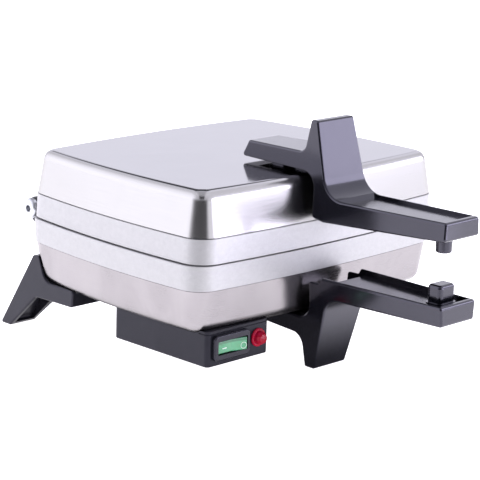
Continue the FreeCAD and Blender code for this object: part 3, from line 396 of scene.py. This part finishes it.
WEAR = {
    "lid_steel": ["lid_cover"],
    "base_steel": ["base_cover"],
    "cast": ["upper_plate", "lower_plate"],
    "handle": ["upper_handle", "lower_handle", "lower_stop_block", "upper_stop_peg"],
    "leg": ["rear_leg_left", "rear_leg_right"],
    "box": ["switch_box"],
    "switch": ["switch_housing", "pilot_lamp_body", "pilot_lamp_nut"],
    "rocker": ["switch_rocker"],
    "lamp": ["pilot_lamp_lens"],
    "zinc": ["hinge_bolts", "hinge_nuts", "base_lug_screws", "lid_lug_screws", "upper_handle_screws", "lower_handle_screws",
             "rear_leg_screws", "switch_box_screws", "switch_box_nuts", "upper_plate_screws", "lower_plate_screws",
             "upper_pillars", "lower_pillars", "upper_clamp_screws", "lower_clamp_screws", "upper_element_clamps",
             "lower_element_clamps", "fuse_clip"],
    "lug": ["base_hinge_lugs", "lid_hinge_lugs"],
    "element": ["upper_element", "lower_element"],
    "reflector": ["upper_reflector", "lower_reflector"],
    "thermostat": ["thermostat"],
    "fuse": ["thermal_fuse"],
    "terminal": ["terminal_block"],
    "brass": ["switch_blades"],
    "rubber": ["cord_bushing", "wire_grommet"],
}
for look, names in WEAR.items():
    for name in names:
        slots = NODE[name].data.materials
        slots.clear()
        slots.append(LOOK[look])


# ---------------------------------------------------------------- small pieces
def piece(name, bm, look, body, smooth=True):
    me = bpy.data.meshes.new(name)
    bm.normal_update()
    bm.to_mesh(me)
    bm.free()
    for p in me.polygons:
        p.use_smooth = smooth
    o = bpy.data.objects.new(name, me)
    SCENE.collection.objects.link(o)
    me.materials.append(LOOK[look])
    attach(o, body)
    return o


def surface(node):
    me = NODE[node].data
    return BVHTree.FromPolygons([v.co.copy() for v in me.vertices], [tuple(p.vertices) for p in me.polygons])


def decal(name, loops, target, look, body, lift=0.00006, thick=0.00012):
    """A thin printed mark: quads between outer and inner loops of (x, z), laid on the front of a node along +Y."""
    tree = surface(target)
    bm = bmesh.new()

    def at(x, z, out):
        hit, normal, _, _ = tree.ray_cast(Vector((x, -0.20, z)), Vector((0, 1, 0)))
        if normal.y > 0:
            normal = -normal
        return hit + normal * out

    rows = []
    for loop in loops:
        rows.append(([bm.verts.new(at(x, z, lift)) for x, z in loop], [bm.verts.new(at(x, z, lift - thick)) for x, z in loop]))
    (ot, ob), (it, ib) = rows
    n = len(ot)
    for i in range(n):
        j = (i + 1) % n
        for a, b in ((ot, it), (it, ib), (ib, ob), (ob, ot)):
            bm.faces.new((a[i], a[j], b[j], b[i]))
    bmesh.ops.recalc_face_normals(bm, faces=bm.faces)
    return piece(name, bm, look, body, False)


RX, RZ = -0.09415, 0.0315


def ring(cx, cz, rx, rz, n=40):
    return [(cx + rx * math.cos(2 * math.pi * i / n), cz + rz * math.sin(2 * math.pi * i / n)) for i in range(n)]


def stadium(cx, cz, w, h, n=40):
    pts = []
    for i in range(n):
        t = 2 * math.pi * i / n
        c, s = math.cos(t), math.sin(t)
        pts.append((cx + math.copysign(abs(c) ** 0.35, c) * w / 2, cz + math.copysign(abs(s) ** 0.35, s) * h / 2))
    return pts


decal("rocker_mark_off", [ring(RX + 0.0092, RZ - 0.0013, 0.0024, 0.0024), ring(RX + 0.0092, RZ - 0.0013, 0.00202, 0.00202)], "switch_rocker", "mark", "rocker")
decal("rocker_mark_on", [stadium(RX - 0.0072, RZ - 0.0009, 0.0043, 0.0008), stadium(RX - 0.0072, RZ - 0.0009, 0.0006, 0.0001)], "switch_rocker", "mark", "rocker")


def lamp_lens():
    """Lens of the pilot lamp: round flange and a dome cut in flat facets."""
    bm = bmesh.new()
    cx, cz, py = -0.06675, 0.0316, -0.0510

    def hoop(r, d, n, turn=0.0):
        return [bm.verts.new((cx + r * 0.001 * math.cos(2 * math.pi * (i + turn) / n), py - d * 0.001,
                              cz + r * 0.001 * math.sin(2 * math.pi * (i + turn) / n))) for i in range(n)]

    def wall(a, b):
        n = len(a)
        return [bm.faces.new((a[i], a[(i + 1) % n], b[(i + 1) % n], b[i])) for i in range(n)]

    n = 56
    hoops = [hoop(r, d, n) for r, d in ((4.2, -2.9), (4.2, 0.02), (6.7, 0.02), (6.7, 0.85), (6.6, 1.25), (6.35, 1.6), (6.0, 1.83), (5.6, 1.9), (4.9, 1.9))]
    soft = []
    for a, b in zip(hoops, hoops[1:]):
        soft += wall(a, b)
    bm.faces.new(list(reversed(hoops[0])))
    m = 10
    rings = [hoop(5.15, 1.7, m, 0.3), hoop(5.0, 4.1, m, 0.3), hoop(3.5, 6.3, m, 0.3)]
    for a, b in zip(rings, rings[1:]):
        wall(a, b)
    tip = bm.verts.new((cx, py - 0.00725, cz))
    for i in range(m):
        bm.faces.new((rings[2][i], rings[2][(i + 1) % m], tip))
    bm.faces.new(list(reversed(rings[0])))
    bm.faces.index_update()
    round_faces = {f.index for f in soft}
    bmesh.ops.recalc_face_normals(bm, faces=bm.faces)
    o = piece("pilot_lamp_facets", bm, "lamp", "base", False)
    for poly in o.data.polygons:
        poly.use_smooth = poly.index in round_faces
    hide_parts("pilot_lamp_lens")


lamp_lens()


def seam(name, node, z, high, body):
    """Painted shadow gap where a steel cover meets its casting: a narrow dark ribbon laid round the cover's edge."""
    tree = surface(node)
    bm = bmesh.new()
    rows = []
    for i in range(360):
        t = 2 * math.pi * i / 360
        out = Vector((math.cos(t), math.sin(t), 0.0))
        pts = []
        for h, off in ((z, -0.0002), (z, 0.00008), (z + high, 0.00008), (z + high, -0.0002)):
            hit, normal, _, _ = tree.ray_cast(Vector((0, 0.046, h)) + out * 0.4, -out)
            flat = Vector((normal.x, normal.y, 0.0)).normalized()
            pts.append(bm.verts.new(hit + flat * off))
        rows.append(pts)
    for i in range(360):
        a, b = rows[i], rows[(i + 1) % 360]
        for j in range(4):
            bm.faces.new((a[j], b[j], b[(j + 1) % 4], a[(j + 1) % 4]))
    bmesh.ops.recalc_face_normals(bm, faces=bm.faces)
    return piece(name, bm, "rubber", body, False)


# dark ribbons stand in as painted shadow in the gaps between the covers and their castings
seam("lid_shadow_gap", "lid_cover", 0.11030, 0.00034, "lid")
seam("base_shadow_gap", "base_cover", 0.07270, 0.00020, "base")


def tray_floor():
    """Shallow floor of the upper arm's tray, let into the arm's walls all round."""
    tree = surface("upper_handle")
    mid = -0.00145
    bm = bmesh.new()
    rows = []
    for i in range(13):
        y = -0.0845 - i * 0.0910 / 12
        z = 0.12670 + (i / 12) * 0.0017
        hit = [tree.ray_cast(Vector((mid, min(y, -0.0905) if i < 12 else -0.1700, z + 0.0012)), Vector((d, 0, 0)))[0].x + d * 0.0009 for d in (-1, 1)]
        rows.append([[bm.verts.new((x, y, z - t)) for x in hit] for t in (0.0, 0.0015)])
    for (a, b), (c, d) in zip(rows, rows[1:]):
        for q in ((a[0], c[0], c[1], a[1]), (b[1], d[1], d[0], b[0]), (a[0], b[0], d[0], c[0]), (a[1], c[1], d[1], b[1])):
            bm.faces.new(q)
    for a, b in (rows[0], rows[-1]):
        bm.faces.new((a[0], a[1], b[1], b[0]))
    bmesh.ops.recalc_face_normals(bm, faces=bm.faces)
    return piece("upper_tray_floor", bm, "handle", "lid", False)


tray_floor()


# ---------------------------------------------------------------- stage and light
def plane(name, corners):
    me = bpy.data.meshes.new(name)
    me.from_pydata([tuple(c) for c in corners], [], [tuple(range(len(corners)))])
    o = bpy.data.objects.new(name, me)
    SCENE.collection.objects.link(o)
    return o


floor = plane("floor", [(-9, -9, 0), (9, -9, 0), (9, 9, 0), (-9, 9, 0)])
fm = Mat("floor_pale", Roughness=0.8, IOR=1.3)
fn = fm.noise(0.8, 3.0, 0.5)
fm.to(fm.ramp(fn, [(0.3, (0.80, 0.795, 0.81)), (0.7, (0.82, 0.815, 0.83))]), "Base Color")
fm.set("Specular IOR Level", 0.1)
fm.set("Emission Color", (1.0, 0.985, 1.01))
fm.set("Emission Strength", 1.2)
floor.data.materials.append(fm.m)

CAM_DIR = Vector((-0.7088, -0.7054, 0.0))
SIDE = Vector((0.7054, -0.7088, 0.0))
corner = Vector((-0.1205, -0.052, 0.0))


def only_reflected(o):
    o.visible_camera = o.visible_diffuse = o.visible_shadow = o.visible_transmission = o.visible_volume_scatter = False


# black cloth on the table in front of the camera, thinning out at its borders: seen only as reflections
a0, a1, lift = corner + CAM_DIR * 0.25, corner + CAM_DIR * 12.0, Vector((0, 0, 0.002))
flag = plane("flag", [a0 - SIDE * 1.8 + lift, a0 + SIDE * 0.5 + lift, a1 + SIDE * 9.0 + lift, a1 - SIDE * 14.0 + lift])
gm = Mat("flag_black", Roughness=0.9)
gn = gm.noise(6.0, 2.0, 0.5)
gm.to(gm.ramp(gn, [(0.3, (0.002, 0.002, 0.0025)), (0.7, (0.004, 0.004, 0.005))]), "Base Color")
gm.set("Specular IOR Level", 0.0)
gp = gm.xyz()
gx, gy = gm.math("SUBTRACT", gp[0], corner.x), gm.math("SUBTRACT", gp[1], corner.y)
g_out = gm.math("ADD", gm.math("MULTIPLY", gx, CAM_DIR.x), gm.math("MULTIPLY", gy, CAM_DIR.y))
g_off = gm.math("ADD", gm.math("MULTIPLY", gx, SIDE.x), gm.math("MULTIPLY", gy, SIDE.y))
g_turn = gm.math("DIVIDE", g_off, g_out)
g_fan = gm.math("MULTIPLY", gm.remap(g_turn, 0.36, 0.80, 1.0, 0.0, True), gm.remap(g_turn, -2.2, -0.65, 0.0, 1.0, True))
gm.to(gm.math("MULTIPLY", g_fan, gm.remap(g_out, 0.26, 0.42, 0.0, 1.0, True)), "Alpha")
flag.data.materials.append(gm.m)
only_reflected(flag)


# shade under the body, where little light gets: seen only as reflections
shade = plane("under_shade", [(-0.16, -0.12, 0.001), (0.16, -0.12, 0.001), (0.16, 0.20, 0.001), (-0.16, 0.20, 0.001)])
sm = Mat("shade_dark", Roughness=0.9)
sm.to(sm.ramp(sm.noise(9.0, 2.0, 0.5), [(0.3, (0.010, 0.010, 0.012)), (0.7, (0.016, 0.016, 0.018))]), "Base Color")
sm.set("Specular IOR Level", 0.0)
sp = sm.xyz()
sx = sm.remap(sm.math("ABSOLUTE", sp[0]), 0.085, 0.125, 1.0, 0.0, True)
sy = sm.remap(sm.math("ABSOLUTE", sm.math("SUBTRACT", sp[1], 0.035)), 0.10, 0.145, 1.0, 0.0, True)
sm.to(sm.math("MULTIPLY", sm.math("MULTIPLY", sx, sy), 0.92), "Alpha")
shade.data.materials.append(sm.m)
only_reflected(shade)


def softbox(name, at, aim, w, h, radiance, tint=(1, 1, 1), glossy=True):
    d = bpy.data.lights.new(name, "AREA")
    d.shape, d.size, d.size_y = "RECTANGLE", w, h
    d.energy, d.color = radiance * math.pi * w * h, tint
    o = bpy.data.objects.new(name, d)
    SCENE.collection.objects.link(o)
    o.location = at
    o.rotation_euler = (Vector(aim) - Vector(at)).to_track_quat("-Z", "Y").to_euler()
    o.visible_camera = False
    o.visible_glossy = glossy
    return o


softbox("top_light", (0.05, 0.05, 2.3), (0, 0.04, 0), 2.0, 2.0, 1.3, (0.99, 0.98, 1.02), False)
softbox("right_box", (1.35, -1.45, 0.62), (0.0, -0.1, 0.1), 1.5, 1.0, 1.6, (0.98, 0.97, 1.06), False)


def card(name, at, along, half, low, high, radiance, tint):
    """Lit reflector standing on the table: seen only as a reflection."""
    at, along = Vector((*at, 0.0)), Vector((*along, 0.0)).normalized()
    o = plane(name, [at - along * half + Vector((0, 0, low)), at + along * half + Vector((0, 0, low)),
                     at + along * half + Vector((0, 0, high)), at - along * half + Vector((0, 0, high))])
    cm = Mat(name, Roughness=0.9)
    cn = cm.noise(3.0, 2.0, 0.5)
    cm.to(cm.ramp(cn, [(0.3, (0.78, 0.78, 0.78)), (0.7, (0.82, 0.82, 0.82))]), "Base Color")
    cm.set("Emission Color", tint)
    cm.set("Emission Strength", radiance)
    o.data.materials.append(cm.m)
    only_reflected(o)
    return o


RIGHT, AWAY = Vector((0.7217, 0.6922)), Vector((0.6922, -0.7217))
card("high_card", AWAY * 0.54 - RIGHT * 0.07, RIGHT, 0.40, 0.180, 0.38, 3.9, (0.97, 0.94, 1.18))
card("low_card", AWAY * 0.54 - RIGHT * 0.235, RIGHT, 0.135, 0.0, 0.13, 5.6, (0.97, 0.94, 1.18))

world = bpy.data.worlds.new("studio")
SCENE.world = world
world.use_nodes = True
wt = world.node_tree
bg = next(n for n in wt.nodes if n.type == "BACKGROUND")
tc = wt.nodes.new("ShaderNodeTexCoord")


def wmath(op, a, b=None, c=None):
    n = wt.nodes.new("ShaderNodeMath")
    n.operation = op
    for i, v in enumerate((a, b, c)):
        if v is None:
            continue
        if isinstance(v, (int, float)):
            n.inputs[i].default_value = v
        else:
            wt.links.new(v, n.inputs[i])
    return n.outputs[0]


def wrange(v, a, b, lo, hi):
    n = wt.nodes.new("ShaderNodeMapRange")
    n.interpolation_type = "SMOOTHSTEP"
    for k, x in zip(("From Min", "From Max", "To Min", "To Max"), (a, b, lo, hi)):
        n.inputs[k].default_value = x
    wt.links.new(v, n.inputs["Value"])
    return n.outputs["Result"]


sep = wt.nodes.new("ShaderNodeSeparateXYZ")
wt.links.new(tc.outputs["Generated"], sep.inputs[0])
wx, wy, wz = sep.outputs
toward = wmath("ADD", wmath("MULTIPLY", wx, CAM_DIR.x), wmath("MULTIPLY", wy, CAM_DIR.y))
across = wmath("ADD", wmath("MULTIPLY", wx, SIDE.x), wmath("MULTIPLY", wy, SIDE.y))
roof = wmath("MAXIMUM", wrange(across, -0.38, -0.25, 0.90, 0.06), wrange(across, 0.13, 0.26, 0.06, 0.95))
high = wmath("MULTIPLY", wrange(wz, 0.33, 0.52, 0.0, 1.0), wrange(wz, 0.76, 0.90, 1.0, 0.45))
above = wmath("SUBTRACT", 1.0, wmath("MULTIPLY", high, wmath("SUBTRACT", 1.0, roof)))
behind = wmath("MAXIMUM", wmath("POWER", wrange(toward, 0.30, 0.90, 1.0, 0.12), 2.0), wrange(across, 0.34, 0.64, 0.02, 1.0))
left = wrange(across, -0.85, -0.45, 1.75, 1.0)
low_dark = wmath("SUBTRACT", 1.0, wmath("MULTIPLY", wmath("SUBTRACT", 1.0, behind), wrange(wz, 0.24, 0.40, 1.0, 0.20)))
level = wmath("MULTIPLY", wmath("MULTIPLY", above, low_dark), left)
wt.links.new(wmath("MULTIPLY", level, 1.45), bg.inputs["Strength"])
bg.inputs["Color"].default_value = (0.985, 0.975, 1.10, 1.0)
